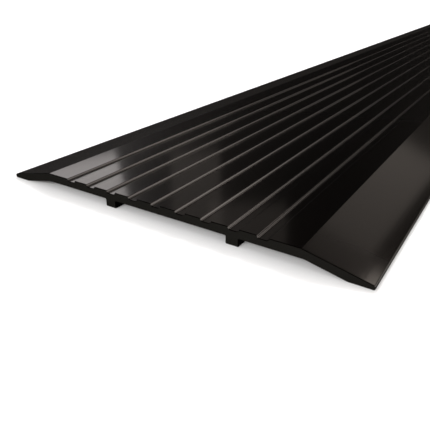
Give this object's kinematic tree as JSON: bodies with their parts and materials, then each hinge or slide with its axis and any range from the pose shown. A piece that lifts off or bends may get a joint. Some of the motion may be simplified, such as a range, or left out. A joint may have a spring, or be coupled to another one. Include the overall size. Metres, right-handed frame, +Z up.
{
  "type": "saddle threshold",
  "caption": "Low fluted aluminium saddle threshold with a ramp down each long side, held to the floor across a doorway by foam mounting tape under it.",
  "frame": {"origin": "on the floor, under the middle of the plate", "axes": "+X across the plate, +Y along the plate, +Z up"},
  "size_m": [0.1524, 0.9144, 0.0063],
  "materials": {
    "anodised_plate": "dark bronze anodised, bright",
    "foam_tape": "closed-cell acrylic foam, matt",
    "release_liner": "siliconed film, satin"
  },
  "bodies": {
    "root": {"saddle_plate": "anodised_plate", "left_tape": "foam_tape", "left_liner": "release_liner", "centre_left_tape": "foam_tape", "centre_left_liner": "release_liner", "centre_right_tape": "foam_tape", "centre_right_liner": "release_liner", "right_tape": "foam_tape", "right_liner": "release_liner"}
  },
  "joints": []
}
